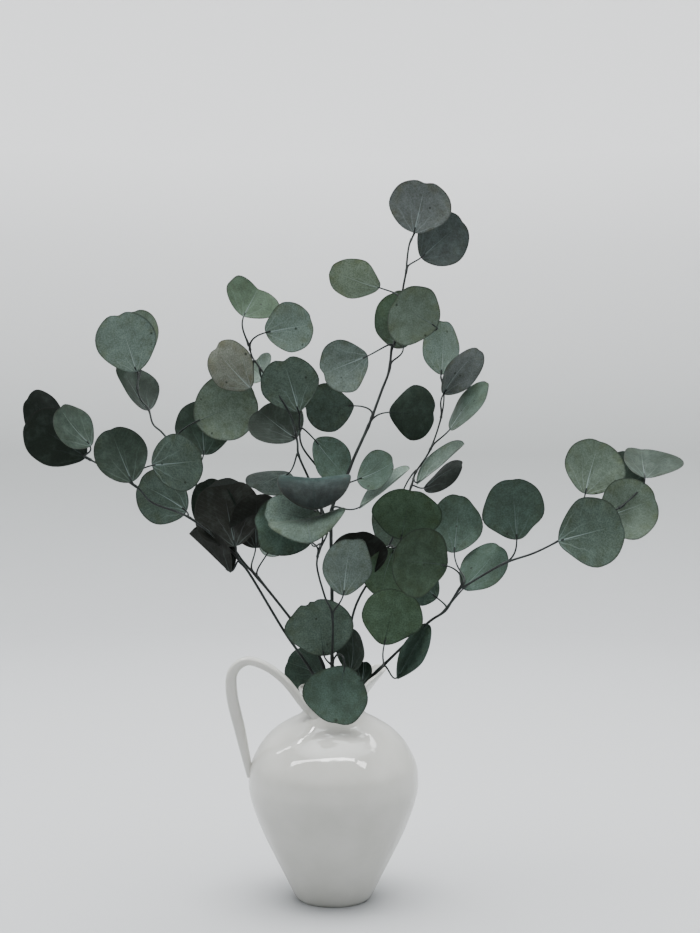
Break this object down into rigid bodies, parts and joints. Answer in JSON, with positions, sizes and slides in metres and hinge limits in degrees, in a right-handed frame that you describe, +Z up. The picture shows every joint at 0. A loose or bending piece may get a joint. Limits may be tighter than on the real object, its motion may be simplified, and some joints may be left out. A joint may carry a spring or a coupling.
{
  "type": "eucalyptus stems in a jug",
  "caption": "Leafy silver-dollar eucalyptus stems standing in a white glazed jug with a looped strap handle and a pulled spout.",
  "frame": {"origin": "centre of the jug's flat foot, on the surface that it stands on", "axes": "+Z up along the jug's axis; -X towards the handle; -Y towards the front, where the lowest leaf hangs over the neck"},
  "size_m": [0.5553, 0.1705, 0.6118],
  "materials": {
    "glazed_earthenware": "gloss",
    "preserved_eucalyptus": "matte"
  },
  "bodies": {
    "root": {"jug": "glazed_earthenware", "handle": "glazed_earthenware", "far_left_stem": "preserved_eucalyptus", "left_stem": "preserved_eucalyptus", "tall_stem": "preserved_eucalyptus", "upper_right_stem": "preserved_eucalyptus", "front_stem": "preserved_eucalyptus", "right_stem": "preserved_eucalyptus"}
  },
  "joints": []
}
